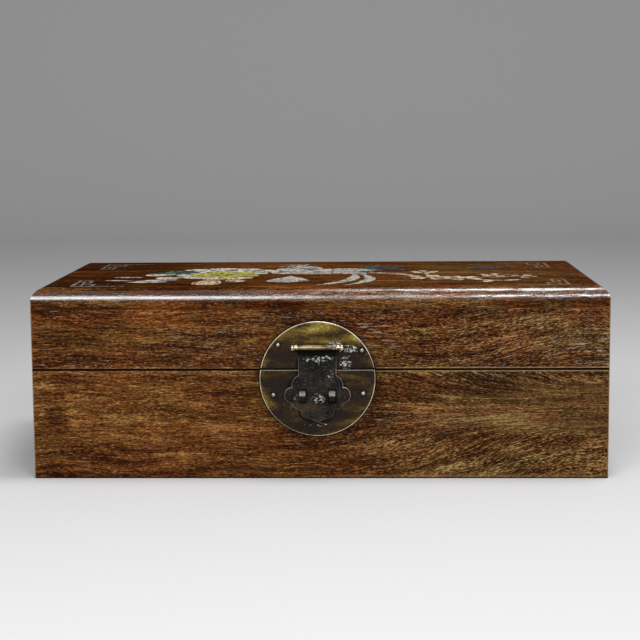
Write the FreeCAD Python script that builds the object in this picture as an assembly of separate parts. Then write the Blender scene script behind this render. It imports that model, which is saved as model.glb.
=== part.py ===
import FreeCAD, Part
import math
import os

from FreeCAD import Vector

# An ink stick and stone box: a mitred hardwood case with a hinged lid, a round two-part lock
# plate with a cloud-shaped hasp on the front, and shell inlay in the lid's top.
# Origin: middle of the underside. +X to the right, +Y to the back, +Z up. Millimetres.

# Case and lid
box_length = 300.0          # outside, X
box_depth = 156.6           # outside, Y
base_height = 57.5          # underside to the parting line
lid_height = 42.7           # parting line to the top
wall = 9.0                  # side boards
glue_gap = 0.05             # each side of a glued tongue, key or peg
corner_ease = 0.8           # radius of the upright outer edges
rim_ease = 0.5              # radius at the underside and the parting line
joint_ease = 0.15           # radius at the glue line under the lid's top board

bottom_thickness = 7.0
bottom_gap = 0.3            # room for the panel to swell, each side
groove_floor = 2.5          # underside to the groove
groove_width = 3.0
groove_depth = 4.0

top_thickness = 11.0
top_round = 7.5             # radius along the top's four edges
top_key = 2.0               # how far the top board drops into the lid's frame

spline_width = 7.0          # across the mitre
spline_thickness = 2.0
spline_margin = 9.0         # end of a spline to the board's end

lip_above = 4.0             # stands above the parting line
lip_below = 8.0
lip_thickness = 2.6
lip_clearance = 0.3         # lip to the lid's inner faces
lip_bevel = 0.8

divider_x = 50.0            # middle of the partition
divider_thickness = 5.0
divider_room = 4.0          # top of the partition to the lip
dado_depth = 2.5

# Sheet brass and nails
plate_thickness = 1.0
plate_bevel = 0.4
seam_gap = 0.3              # between the two halves of a round plate
nail_head_radius = 1.15
nail_head_height = 0.75
nail_radius = 0.5
nail_length = 6.5
nail_fit = 0.02             # nail to the hole in plate and board

# Lock plate
lock_x = -0.95
lock_radius = 30.0
lock_drop = 4.8             # parting line down to the plate's middle
lock_nails_upper = [(138.7, 2.9), (32.8, 2.5)]    # degrees from +X, inset from the rim
lock_nails_lower = [(199.9, 5.6), (342.2, 5.1)]

# Hasp: half widths and heights below the parting line
pin_rise = 11.6             # parting line up to the pin
pin_radius = 0.9
pin_clearance = 0.05
knuckle_radius = 1.7
hasp_clearance = 0.2        # hasp to the lock plate
hasp_thickness = 1.1
hasp_bevel = 0.25
neck_half = 9.9
neck_end = 2.85
shoulder = [(neck_half + 2.5, 4.9), (neck_half + 3.4, 8.95)]
side_lobe = [(neck_half + 7.3, 13.05), (neck_half + 3.9, 17.3)]
lower_shoulder = [(neck_half + 2.0, 19.9), (8.6, 21.4)]
foot_side = [(8.1, 23.7), (5.6, 25.4)]
foot_tip = [(2.7, 26.2), (0.0, 27.6)]

# Pin loops: split pins whose ring holds the hasp's pin
loop_radius = 1.9
loop_width = 1.4
loop_shank = 2.0            # height of the shank through the lid
loop_gap = 0.3              # knuckle to loop, and loop to the pin's end bead
bead_radius = 1.7
bead_width = 1.6
tail_length = 3.8           # clinched tails, from the shank
tail_thickness = 0.8

# Lock eyes
eye_drop = 13.4             # parting line down to the eyes' middle
eye_spacing = 15.4
eye_width = 3.2
eye_radius = 3.1
eye_bore = 1.7
eye_seat = 0.4              # eye's ring to the lock plate
eye_shank = 2.6
slot_side = 0.5             # eye to slot, left and right
slot_over = 0.3
slot_under = 0.8            # room for the hasp's swing

# Hinges
hinge_x = 95.0              # middle of the box to the middle of a hinge
hinge_radius = 18.0
barrel_radius = 2.2
barrel_length = 24.0
barrel_clearance = 0.25     # barrel to the wood
barrel_gap = 0.2            # between knuckles
notch_clearance = 0.3       # leaf to the other leaf's knuckles
hinge_pin_radius = 1.15
hinge_nails = [(30.0, 4.5), (90.0, 4.5), (150.0, 4.5)]

# Shell inlay
shell_depth = 0.8           # pocket in the top board
shell_proud = 0.05
shell_bed = 0.05            # mastic under and around each shell
shell_joint = 0.35          # between neighbouring shells
least_shell = 4.0           # smaller slivers are left as mastic, mm2
peony_spot = (-55.0, -9.0)
butterfly_spot = (89.0, 22.0)
drawing_length = 300.0      # the field that the flowers and the bird are drawn for
drawing_depth = 156.6
fret_inset_x = 20.0         # box's end to the middle of the key line
fret_inset_front = 10.0
fret_inset_back = 22.0
fret_long = 27.0            # plain arm along the box
fret_deep = 29.0            # folded arm across it
fret_foot = 10.5            # width of the fold at the corner
fret_head = 6.6             # and at the far end
fret_band = 1.6

# Faces and levels that follow from the sizes
half_x = box_length / 2
half_y = box_depth / 2
inner_x = half_x - wall
inner_y = half_y - wall
seam = base_height
top_z = base_height + lid_height
lid_frame_top = top_z - top_thickness
front_face = -half_y
back_face = half_y
plate_face = front_face - plate_thickness
hasp_back = plate_face - hasp_clearance
pin_y = hasp_back - knuckle_radius
pin_z = seam + pin_rise
eye_y = plate_face - eye_seat - eye_radius
eye_z = seam - eye_drop
loop_x = neck_half + loop_gap + loop_width / 2
hinge_y = back_face + barrel_clearance + barrel_radius
lip_foot = seam - lip_below
divider_top = lip_foot - divider_room
drawing_scale = min(box_length / drawing_length, box_depth / drawing_depth)

parts = {}


def block(x0, x1, y0, y1, z0, z1):
    return Part.makeBox(x1 - x0, y1 - y0, z1 - z0, Vector(x0, y0, z0))


def rod_x(radius, x0, x1, y, z):
    return Part.makeCylinder(radius, x1 - x0, Vector(x0, y, z), Vector(1, 0, 0))


def rod_y(radius, x, y0, y1, z):
    return Part.makeCylinder(radius, y1 - y0, Vector(x, y0, z), Vector(0, 1, 0))


def edges_where(shape, test):
    """Edges whose every corner passes the test."""
    return [edge for edge in shape.Edges if all(test(v.Point) for v in edge.Vertexes)]


def at(value, level):
    return abs(value - level) < 1e-4


def joined(shapes):
    return shapes[0].fuse(shapes[1:]).removeSplitter()


# ---- wooden case and lid ----

def outline_prism(z0, z1):
    """The box's plan with its upright edges eased."""
    prism = block(-half_x, half_x, -half_y, half_y, z0, z1)
    upright = [edge for edge in prism.Edges if at(edge.BoundBox.ZLength, z1 - z0)]
    return prism.makeFillet(corner_ease, upright)


def mitre_wedge(side, z0, z1):
    """The ground that one side board covers: a trapezium cut at 45 degrees from the box's corners."""
    reach = wall + lip_thickness + 2
    over = 2
    if side in ("front", "back"):
        sign = -1 if side == "front" else 1
        corners = [(-half_x - over, sign * (half_y + over)), (half_x + over, sign * (half_y + over)),
                   (half_x - reach, sign * (half_y - reach)), (-half_x + reach, sign * (half_y - reach))]
    else:
        sign = -1 if side == "left" else 1
        corners = [(sign * (half_x + over), -half_y - over), (sign * (half_x + over), half_y + over),
                   (sign * (half_x - reach), half_y - reach), (sign * (half_x - reach), -half_y + reach)]
    points = [Vector(x, y, z0 - over) for x, y in corners]
    wire = Part.makePolygon(points + points[:1])
    return Part.Face(wire).extrude(Vector(0, 0, z1 - z0 + 2 * over))


def splines(z0, z1, grow):
    """A key across each mitre, hidden inside the wall's thickness."""
    half_w = spline_width / 2 + grow
    half_t = spline_thickness / 2 + grow
    keys = []
    for sx in (-1, 1):
        for sy in (-1, 1):
            key = block(-half_w, half_w, -half_t, half_t, z0 - grow, z1 + grow)
            key.rotate(Vector(0, 0, 0), Vector(0, 0, 1), -45 * sx * sy)
            key.translate(Vector(sx * (half_x - wall / 2), sy * (half_y - wall / 2), 0))
            keys.append(key)
    return keys


def side_boards(prefix, ring, z0, z1):
    for side in ("front", "back", "left", "right"):
        parts[f"{prefix}_{side}_board"] = ring.common(mitre_wedge(side, z0, z1))


def frame_ring(z0, z1, ease_below, ease_above):
    prism = outline_prism(z0, z1)
    prism = prism.makeFillet(ease_below, edges_where(prism, lambda p: at(p.z, z0)))
    prism = prism.makeFillet(ease_above, edges_where(prism, lambda p: at(p.z, z1)))
    return prism.cut(block(-inner_x, inner_x, -inner_y, inner_y, z0 - 1, z1 + 1))


def make_base():
    ring = frame_ring(0, seam, rim_ease, rim_ease)
    groove_x = inner_x + groove_depth
    groove_y = inner_y + groove_depth
    groove_top = groove_floor + groove_width
    groove = block(-groove_x, groove_x, -groove_y, groove_y, groove_floor, groove_top)
    half_dado = divider_thickness / 2 + glue_gap
    dado = block(divider_x - half_dado, divider_x + half_dado, -inner_y - dado_depth,
                 inner_y + dado_depth, bottom_thickness, divider_top + glue_gap)
    low = spline_margin
    high = seam - spline_margin
    slots = splines(low, high, glue_gap)
    holes = eye_shanks(glue_gap) + lock_nail_holes() + hinge_nail_holes()
    side_boards("base", ring.cut([groove, dado] + slots + holes), 0, seam)
    parts["base_corner_splines"] = Part.makeCompound(splines(low, high, 0))

    field_x = inner_x - bottom_gap
    field_y = inner_y - bottom_gap
    tongue_x = groove_x - bottom_gap
    tongue_y = groove_y - bottom_gap
    field = block(-field_x, field_x, -field_y, field_y, 0, bottom_thickness)
    tongue = block(-tongue_x, tongue_x, -tongue_y, tongue_y, groove_floor + glue_gap, groove_top - glue_gap)
    parts["base_bottom_panel"] = joined([field, tongue])


def make_lip():
    """Four strips glued inside the case. They stand above the parting line and centre the lid."""
    low = block(-inner_x, inner_x, -inner_y, inner_y, lip_foot, seam)
    high_x = inner_x - lip_clearance
    high_y = inner_y - lip_clearance
    crest = seam + lip_above
    high = block(-high_x, high_x, -high_y, high_y, lip_foot, crest)
    high = high.makeChamfer(lip_bevel, edges_where(high, lambda p: at(p.z, crest)))
    hole_x = inner_x - lip_thickness
    hole_y = inner_y - lip_thickness
    ring = joined([low, high]).cut(block(-hole_x, hole_x, -hole_y, hole_y, lip_foot - 1, crest + 1))
    for side in ("front", "back", "left", "right"):
        parts[f"lip_{side}_strip"] = ring.common(mitre_wedge(side, lip_foot, crest))


def make_divider():
    half = divider_thickness / 2
    reach = inner_y + dado_depth - glue_gap
    parts["divider"] = block(divider_x - half, divider_x + half, -reach, reach,
                             bottom_thickness, divider_top)


def rounded_profile(half_width):
    """Cross-section of the top board, its two upper corners rounded."""
    z0 = lid_frame_top
    turn = top_z - top_round
    lift = top_round * math.sin(math.radians(45))
    side = half_width - top_round
    feet = [Vector(0, way * half_width, z0) for way in (-1, 1)]
    turns = [Vector(0, way * half_width, turn) for way in (-1, 1)]
    bulges = [Vector(0, way * (side + lift), turn + lift) for way in (-1, 1)]
    crests = [Vector(0, way * side, top_z) for way in (-1, 1)]
    edges = [
        Part.LineSegment(feet[0], turns[0]),
        Part.Arc(turns[0], bulges[0], crests[0]),
        Part.LineSegment(crests[0], crests[1]),
        Part.Arc(crests[1], bulges[1], turns[1]),
        Part.LineSegment(turns[1], feet[1]),
        Part.LineSegment(feet[1], feet[0]),
    ]
    return Part.Face(Part.Wire([edge.toShape() for edge in edges]))


def top_board():
    along = rounded_profile(half_y).extrude(Vector(box_length, 0, 0))
    along.translate(Vector(-half_x, 0, 0))
    across = rounded_profile(half_x).extrude(Vector(box_depth, 0, 0))
    across.translate(Vector(-half_y, 0, 0))
    across.rotate(Vector(0, 0, 0), Vector(0, 0, 1), 90)
    plan = outline_prism(lid_frame_top, top_z + 1)
    plan = plan.makeFillet(joint_ease, edges_where(plan, lambda p: at(p.z, lid_frame_top)))
    key_x = inner_x - glue_gap
    key_y = inner_y - glue_gap
    key = block(-key_x, key_x, -key_y, key_y, lid_frame_top - top_key, lid_frame_top)
    return joined([along.common(across).common(plan), key])


def make_lid():
    ring = frame_ring(seam, lid_frame_top, rim_ease, joint_ease)
    low = seam + spline_margin
    high = lid_frame_top - spline_margin
    slots = splines(low, high, glue_gap)
    ring = ring.cut(slots + loop_shanks(glue_gap) + lock_nail_holes() + hinge_nail_holes())
    side_boards("lid", ring, seam, lid_frame_top)
    parts["lid_corner_splines"] = Part.makeCompound(splines(low, high, 0))
    parts["lid_top_panel"] = top_board().cut(pockets())


# ---- nails ----

def nail(x, z, face, outward):
    """A domed nail driven into a board; outward is -1 at the front and 1 at the back."""
    dome_radius = (nail_head_radius ** 2 + nail_head_height ** 2) / (2 * nail_head_height)
    dome_centre = face - outward * (dome_radius - nail_head_height)
    dome = Part.makeSphere(dome_radius, Vector(x, dome_centre, z))
    crown = face + outward * nail_head_height
    keep = rod_y(nail_head_radius, x, min(face, crown), max(face, crown), z)
    tip = face - outward * nail_length
    shank = rod_y(nail_radius, x, min(tip, face), max(tip, face), z)
    return joined([dome.common(keep), shank])


def nail_hole(x, z, face, outward):
    tip = face - outward * (nail_length + nail_fit)
    over = face + outward
    return rod_y(nail_radius + nail_fit, x, min(tip, over), max(tip, over), z)


def lock_nail_spots(spots):
    places = []
    for angle, inset in spots:
        reach = lock_radius - inset
        turn = math.radians(angle)
        places.append((lock_x + reach * math.cos(turn), seam - lock_drop + reach * math.sin(turn)))
    return places


def hinge_nail_spots(way):
    """way is 1 on the lid and -1 on the case."""
    places = []
    for side in (-1, 1):
        for angle, inset in hinge_nails:
            reach = hinge_radius - inset
            turn = math.radians(angle)
            places.append((side * hinge_x + reach * math.cos(turn), seam + way * reach * math.sin(turn)))
    return places


def lock_nail_holes():
    spots = lock_nail_spots(lock_nails_upper + lock_nails_lower)
    return [nail_hole(x, z, plate_face, -1) for x, z in spots]


def hinge_nail_holes():
    spots = hinge_nail_spots(1) + hinge_nail_spots(-1)
    return [nail_hole(x, z, back_face + plate_thickness, 1) for x, z in spots]


def make_nails():
    for name, spots in (("upper", lock_nails_upper), ("lower", lock_nails_lower)):
        nails = [nail(x, z, plate_face, -1) for x, z in lock_nail_spots(spots)]
        parts[f"lock_nails_{name}"] = Part.makeCompound(nails)
    for name, way in (("upper", 1), ("lower", -1)):
        nails = [nail(x, z, back_face + plate_thickness, 1) for x, z in hinge_nail_spots(way)]
        parts[f"hinge_nails_{name}"] = Part.makeCompound(nails)


# ---- lock plate, hasp and eyes ----

def half_disc(x, z, radius, face, way):
    """The part of a round plate above or below the parting line, its front edge bevelled."""
    outer = face + math.copysign(plate_thickness, face)
    disc = rod_y(radius, x, min(face, outer), max(face, outer), z)
    edge = seam + way * seam_gap / 2
    far = edge + way * 2 * radius
    disc = disc.common(block(x - radius, x + radius, min(face, outer), max(face, outer),
                             min(edge, far), max(edge, far)))
    return disc.makeChamfer(plate_bevel, edges_where(disc, lambda p: at(p.y, outer)))


def make_lock_plates():
    for name, way in (("upper", 1), ("lower", -1)):
        plate = half_disc(lock_x, seam - lock_drop, lock_radius, front_face, way)
        holes = lock_nail_holes() + loop_shanks(glue_gap) + eye_shanks(glue_gap)
        parts[f"lock_plate_{name}"] = plate.cut(holes)


def loop_shanks(grow):
    half_w = loop_width / 2 + grow
    half_h = loop_shank / 2 + grow
    return [block(lock_x + side * loop_x - half_w, lock_x + side * loop_x + half_w, pin_y,
                  -inner_y, pin_z - half_h, pin_z + half_h) for side in (-1, 1)]


def eye_shanks(grow):
    half_w = eye_width / 2 + grow
    half_h = eye_shank / 2 + grow
    return [block(lock_x + side * eye_spacing / 2 - half_w, lock_x + side * eye_spacing / 2 + half_w,
                  eye_y, -inner_y, eye_z - half_h, eye_z + half_h) for side in (-1, 1)]


def clinched_tails(x, half_w, half_h, z):
    """Two leaves of a split shank, bent up and down against the inside of the board."""
    reach = half_h + tail_length
    return block(x - half_w, x + half_w, -inner_y, -inner_y + tail_thickness, z - reach, z + reach)


def make_pin_loops():
    loops = []
    for side, shank in zip((-1, 1), loop_shanks(0)):
        x = lock_x + side * loop_x
        half_w = loop_width / 2
        ring = rod_x(loop_radius, x - half_w, x + half_w, pin_y, pin_z)
        tails = clinched_tails(x, half_w, loop_shank / 2, pin_z)
        hole = rod_x(pin_radius + nail_fit, x - half_w - 1, x + half_w + 1, pin_y, pin_z)
        loops.append(joined([ring, shank, tails]).cut(hole))
    parts["hasp_pin_loops"] = Part.makeCompound(loops)


def make_lock_eyes():
    for name, side, shank in zip(("left", "right"), (-1, 1), eye_shanks(0)):
        x = lock_x + side * eye_spacing / 2
        half_w = eye_width / 2
        ring = rod_x(eye_radius, x - half_w, x + half_w, eye_y, eye_z)
        tails = clinched_tails(x, half_w, eye_shank / 2, eye_z)
        hole = rod_x(eye_bore, x - half_w - 1, x + half_w + 1, eye_y, eye_z)
        parts[f"lock_eye_{name}"] = joined([ring, shank, tails]).cut(hole)


def hasp_face():
    """The hasp's outline: a straight neck, two shoulders, two side lobes and a pointed foot."""
    y = hasp_back
    runs = [shoulder, side_lobe, lower_shoulder, foot_side, foot_tip]
    edges = []
    for sign in (1, -1):
        start = Vector(lock_x + sign * neck_half, y, seam - neck_end)
        edges.append(Part.LineSegment(Vector(lock_x + sign * neck_half, y, pin_z), start).toShape())
        for run in runs:
            through, end = [Vector(lock_x + sign * x, y, seam - drop) for x, drop in run]
            edges.append(Part.Arc(start, through, end).toShape())
            start = end
    edges.append(Part.LineSegment(Vector(lock_x - neck_half, y, pin_z),
                                  Vector(lock_x + neck_half, y, pin_z)).toShape())
    return Part.Face(Part.Wire(Part.__sortEdges__(edges)))


def make_hasp():
    front = hasp_back - hasp_thickness
    plate = hasp_face().extrude(Vector(0, -hasp_thickness, 0))
    rim = edges_where(plate, lambda p: at(p.y, front))
    rim = [edge for edge in rim if edge.CenterOfMass.z < pin_z - knuckle_radius]
    plate = plate.makeChamfer(hasp_bevel, rim)
    slots = []
    for side in (-1, 1):
        x = lock_x + side * eye_spacing / 2
        half_w = eye_width / 2 + slot_side
        slots.append(block(x - half_w, x + half_w, front - 1, hasp_back + 1,
                           eye_z - eye_radius - slot_under, eye_z + eye_radius + slot_over))
    plate = plate.cut(slots)
    barrel = rod_x(knuckle_radius, lock_x - neck_half, lock_x + neck_half, pin_y, pin_z)
    bore = rod_x(pin_radius + pin_clearance, lock_x - neck_half - 1, lock_x + neck_half + 1, pin_y, pin_z)
    parts["hasp"] = joined([plate, barrel]).cut(bore)


def make_hasp_pin():
    bead_start = loop_x + loop_width / 2 + loop_gap
    end = bead_start + bead_width
    pieces = [rod_x(pin_radius, lock_x - end, lock_x + end, pin_y, pin_z)]
    for x in (lock_x - end, lock_x + bead_start):
        bead = rod_x(bead_radius, x, x + bead_width, pin_y, pin_z)
        pieces.append(bead.makeFillet(bead_width * 0.4, bead.Edges))
    parts["hasp_pin"] = joined(pieces)


# ---- hinges ----

def knuckles(way):
    """X ranges of a leaf's knuckles: the case's leaf has the two outer ones, the lid's the middle."""
    third = barrel_length / 3
    half = barrel_length / 2
    gap = barrel_gap / 2
    if way > 0:
        return [(-third / 2 + gap, third / 2 - gap)]
    return [(-half, -third / 2 - gap), (third / 2 + gap, half)]


def hinge_leaf(x, way):
    leaf = half_disc(x, seam, hinge_radius, back_face, way)
    reach = barrel_radius + notch_clearance
    for start, end in knuckles(-way):
        leaf = leaf.cut(block(x + start - notch_clearance, x + end + notch_clearance, back_face - 1,
                              back_face + plate_thickness + 1, seam - reach, seam + reach))
    barrels = [rod_x(barrel_radius, x + start, x + end, hinge_y, seam) for start, end in knuckles(way)]
    leaf = joined([leaf] + barrels)
    bore = rod_x(hinge_pin_radius + pin_clearance, x - barrel_length, x + barrel_length, hinge_y, seam)
    return leaf.cut([bore] + hinge_nail_holes())


def make_hinges():
    for name, side in (("left", -1), ("right", 1)):
        x = side * hinge_x
        parts[f"hinge_{name}_upper_leaf"] = hinge_leaf(x, 1)
        parts[f"hinge_{name}_lower_leaf"] = hinge_leaf(x, -1)
        half = barrel_length / 2
        parts[f"hinge_{name}_pin"] = rod_x(hinge_pin_radius, x - half, x + half, hinge_y, seam)


# ---- shell inlay: flat outlines on the top, all drawn with the same few shapes ----

def spot(x, y, angle, along, aside):
    """A point measured along and aside from (x, y) in a direction."""
    turn = math.radians(angle)
    return Vector(x + along * math.cos(turn) - aside * math.sin(turn),
                  y + along * math.sin(turn) + aside * math.cos(turn), 0)


def heading(start, end):
    return math.degrees(math.atan2(end[1] - start[1], end[0] - start[0]))


def face_of(arcs):
    return Part.Face(Part.Wire([Part.Arc(*points).toShape() for points in arcs]))


def leaf(x, y, angle, length, width, grow):
    """Pointed at both ends; (x, y) is the stalk end."""
    base = spot(x, y, angle, -grow, 0)
    tip = spot(x, y, angle, length + grow, 0)
    side = width / 2 + grow
    left = spot(x, y, angle, length * 0.45, side)
    right = spot(x, y, angle, length * 0.45, -side)
    return face_of([(base, left, tip), (tip, right, base)])


def petal(x, y, angle, length, width, grow):
    """Pointed at (x, y), round at the far end."""
    side = width / 2 + grow
    base = spot(x, y, angle, -grow, 0)
    left = spot(x, y, angle, length * 0.72, side)
    right = spot(x, y, angle, length * 0.72, -side)
    tip = spot(x, y, angle, length + grow, 0)
    inner_left = spot(x, y, angle, length * 0.36, side * 0.72)
    inner_right = spot(x, y, angle, length * 0.36, -side * 0.72)
    return face_of([(base, inner_left, left), (left, tip, right), (right, inner_right, base)])


def plume(start, middle, end, width, grow):
    """A long curved feather that tapers to both ends, which grow on along the curve."""
    angle = heading(start, end)
    turn = heading(middle, end) - heading(start, middle)
    base = spot(start[0], start[1], angle - turn, -grow, 0)
    tip = spot(end[0], end[1], angle + turn, grow, 0)
    left = spot(middle[0], middle[1], angle, 0, width / 2 + grow)
    right = spot(middle[0], middle[1], angle, 0, -width / 2 - grow)
    return face_of([(base, left, tip), (tip, right, base)])


def bead_spot(x, y, radius, grow):
    return Part.Face(Part.Wire(Part.makeCircle(radius + grow, Vector(x, y, 0))))


def fret(sx, sy, grow):
    """A key line in a corner: a plain arm and one with two folds; (sx, sy) picks the corner."""
    arms = [(fret_long, 0), (0, 0), (0, fret_deep), (fret_head, fret_deep), (fret_head, 0.56 * fret_deep),
            (fret_head / 2, 0.56 * fret_deep), (fret_head / 2, 0.78 * fret_deep)]
    foot = [(fret_foot, 0), (fret_foot, 0.34 * fret_deep), (0.4 * fret_foot, 0.34 * fret_deep),
            (0.4 * fret_foot, 0.17 * fret_deep)]
    inset = fret_inset_front if sy < 0 else fret_inset_back
    side = fret_band / 2 + grow
    bars = []
    for line in (arms, foot):
        path = [(sx * (half_x - fret_inset_x - x), sy * (half_y - inset - y)) for x, y in line]
        for (x0, y0), (x1, y1) in zip(path, path[1:]):
            corner = Vector(min(x0, x1) - side, min(y0, y1) - side, 0)
            bars.append(Part.makePlane(abs(x1 - x0) + 2 * side, abs(y1 - y0) + 2 * side, corner))
    return joined(bars).Faces[0]


def ring_of_petals(x, y, start, angles, length, width, grow):
    """Petals that stand round a middle, each with its foot a little way out."""
    faces = []
    for angle in angles:
        foot = spot(x, y, angle, start, 0)
        faces.append(petal(foot.x, foot.y, angle, length, width, grow))
    return faces


def blossom(x, y, size, turn, grow):
    faces = [bead_spot(x, y, size * 0.2, grow)]
    angles = [turn + 72 * i for i in range(5)]
    return faces + ring_of_petals(x, y, size * 0.28, angles, size * 0.8, size * 0.66, grow)


def peony_heart(grow):
    x, y = peony_spot
    faces = [bead_spot(x, y, 3.4, grow)]
    faces += ring_of_petals(x, y, 3.8, range(15, 375, 60), 10.0, 9.6, grow)
    return faces + ring_of_petals(x, y, 9.5, range(45, 405, 60), 10.5, 12.5, grow)


def peony_petals(grow):
    x, y = peony_spot
    inner = ring_of_petals(x, y, 13.0, range(32, 312, 38), 13.5, 15.5, grow)
    outer = ring_of_petals(x, y + 4, 20.0, (36, 66, 96, 126, 156), 16.0, 17.5, grow)
    skirt = [petal(-81, -4, 200, 19, 12, grow),
             petal(-75, -22, 205, 17, 12, grow),
             petal(-58, -33, 263, 30, 15.5, grow),
             petal(-50, -33, 292, 16, 11, grow)]
    return inner + outer + skirt


def dark_leaves(grow):
    x, y = peony_spot
    around = ((141, 19, 24), (158, 21, 22))
    faces = []
    for angle, start, length in around:
        foot = spot(x, y, angle, start, 0)
        faces.append(leaf(foot.x, foot.y, angle, length, 10, grow))
    return faces + [leaf(22, 26, 66, 24, 9.5, grow),
                    leaf(26, 23, 34, 25, 9.5, grow),
                    leaf(30, 18, 4, 20, 8, grow)]


def sprays(grow):
    bud = [petal(-17, -17, 267, 34, 13, grow),
           petal(-19, -22, 256, 27, 9.5, grow),
           petal(-14.5, -22, 279, 25, 9.5, grow)]
    stems = [plume((-31, -43), (-27, -40), (-23, -41), 1.9, grow)]
    low = [leaf(-78, -35, 202, 24, 10, grow),
           leaf(-82, -46, 186, 22, 8, grow),
           leaf(-101, -40, 173, 17, 4.2, grow),
           leaf(-98, -22, 178, 17, 4.2, grow)]
    return bud + stems + low


def bird_wing(grow):
    fan = [leaf(-3 + 3.4 * i, 19 + 2.4 * i, 312 + 9 * i, 29, 7.6, grow) for i in range(4)]
    return fan + [bead_spot(-12.5, 36, 1.5, grow)]


def bird_body(grow):
    trunk = [petal(25, -10, 129, 42, 23, grow),
             petal(0, 15, 120, 30, 15.5, grow),
             petal(6, 4, 146, 39, 17, grow),
             petal(8, -4, 167, 38, 14, grow)]
    bill = [leaf(-17, 38, 178, 10, 4.6, grow)]
    crest = [leaf(-13, 41, 128 - 24 * i, 14, 3.6, grow) for i in range(3)]
    return trunk + bill + crest


def tail_plumes(grow):
    return [plume((17, -6), (17.5, -30), (-3, -67), 6.4, grow),
            plume((21, -8), (26.5, -32), (12.5, -67), 6.0, grow),
            plume((24, 0), (40, -5), (51, -20), 5.4, grow)]


def branch(grow):
    twigs = [plume((50, -20), (70, -24), (92, -29), 2.6, grow),
             plume((60, -20), (58.5, -10), (57, 0), 2.2, grow),
             plume((88, -29), (99, -26), (109, -21), 2.2, grow),
             plume((80, -36), (88, -42), (101, -45), 2.2, grow)]
    return twigs + [leaf(90, -42, 262, 12, 6, grow),
                    leaf(88, -24, 205, 16, 6, grow),
                    leaf(97, -45, 20, 11, 4.2, grow)]


def blossoms(grow):
    return (blossom(57, 5, 8, 20, grow) + blossom(59, -26, 11.5, 6, grow) + blossom(76, -31, 11, 40, grow)
            + blossom(95, -16, 8, 10, grow) + blossom(110, -23, 7.5, 60, grow))


def butterfly(grow):
    """Wings spread, seen from above."""
    x, y = butterfly_spot
    turn = 62
    faces = [leaf(x, y, turn, 12, 2.8, grow)]
    for side, length, width in ((46, 12, 7), (-46, 12, 7), (115, 8, 6), (-115, 8, 6)):
        foot = spot(x, y, turn, 7 if abs(side) < 90 else 5, 0)
        off = spot(foot.x, foot.y, turn + side, 1.5, 0)
        faces.append(petal(off.x, off.y, turn + side, length, width, grow))
    return faces


def corner_frets(grow):
    return [fret(sx, sy, grow) for sx in (-1, 1) for sy in (-1, 1)]


# In the order they are let in: each shell is trimmed to those before it.
motifs = [
    ("inlay_peony_heart", peony_heart),
    ("inlay_dark_leaves", dark_leaves),
    ("inlay_peony_petals", peony_petals),
    ("inlay_bird_wing", bird_wing),
    ("inlay_bird_body", bird_body),
    ("inlay_tail_plumes", tail_plumes),
    ("inlay_blossoms", blossoms),
    ("inlay_sprays", sprays),
    ("inlay_branch", branch),
    ("inlay_butterfly", butterfly),
    ("inlay_corner_frets", corner_frets),
]


def outlines(motif, grow):
    """A motif's faces, drawn to the size of the top; the corner lines already follow it."""
    if motif is corner_frets:
        return motif(grow)
    return [face.scaled(drawing_scale) for face in motif(grow / drawing_scale)]


def pockets():
    faces = [face for name, motif in motifs for face in outlines(motif, shell_bed)]
    return [prism(face, top_z - shell_depth, top_z + 1) for face in faces]


def prism(face, z0, z1):
    solid = face.extrude(Vector(0, 0, z1 - z0))
    solid.translate(Vector(0, 0, z0))
    return solid


def make_inlay():
    z0 = top_z - shell_depth + shell_bed
    z1 = top_z + shell_proud
    earlier = []
    for name, motif in motifs:
        shells = []
        for face, wide in zip(outlines(motif, 0), outlines(motif, shell_joint)):
            near = [tool for tool in earlier if tool.BoundBox.intersect(face.BoundBox)]
            left = face.cut(near) if near else face
            pieces = [piece for piece in left.Faces if piece.Area > least_shell]
            shells += [prism(piece, z0, z1) for piece in pieces]
            earlier.append(wide)
        parts[name] = Part.makeCompound(shells)


def main():
    make_base()
    make_lip()
    make_divider()
    make_lid()
    make_nails()
    make_lock_plates()
    make_pin_loops()
    make_lock_eyes()
    make_hasp()
    make_hasp_pin()
    make_hinges()
    make_inlay()
    os.makedirs("parts", exist_ok=True)
    for name, shape in parts.items():
        shape.exportStep(f"parts/{name}.step")
        state = "ok" if shape.isValid() else "NOT VALID"
        print(f"{name}: {len(shape.Solids)} solids, {shape.Volume:.1f} mm3, {state}")


main()
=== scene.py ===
import math

import bmesh
import bpy
from mathutils import Matrix, Vector


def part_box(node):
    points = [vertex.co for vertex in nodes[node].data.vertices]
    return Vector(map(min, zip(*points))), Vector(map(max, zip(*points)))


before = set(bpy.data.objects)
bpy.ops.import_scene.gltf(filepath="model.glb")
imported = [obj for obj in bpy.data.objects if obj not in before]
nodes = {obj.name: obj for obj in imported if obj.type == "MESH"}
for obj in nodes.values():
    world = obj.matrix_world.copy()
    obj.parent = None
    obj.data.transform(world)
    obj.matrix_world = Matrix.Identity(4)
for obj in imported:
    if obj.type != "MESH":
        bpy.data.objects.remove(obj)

scene = bpy.context.scene
scene.view_settings.view_transform = "Standard"
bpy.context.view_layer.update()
mm = 0.001
print("frame loaded:", len(nodes), "nodes")

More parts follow.
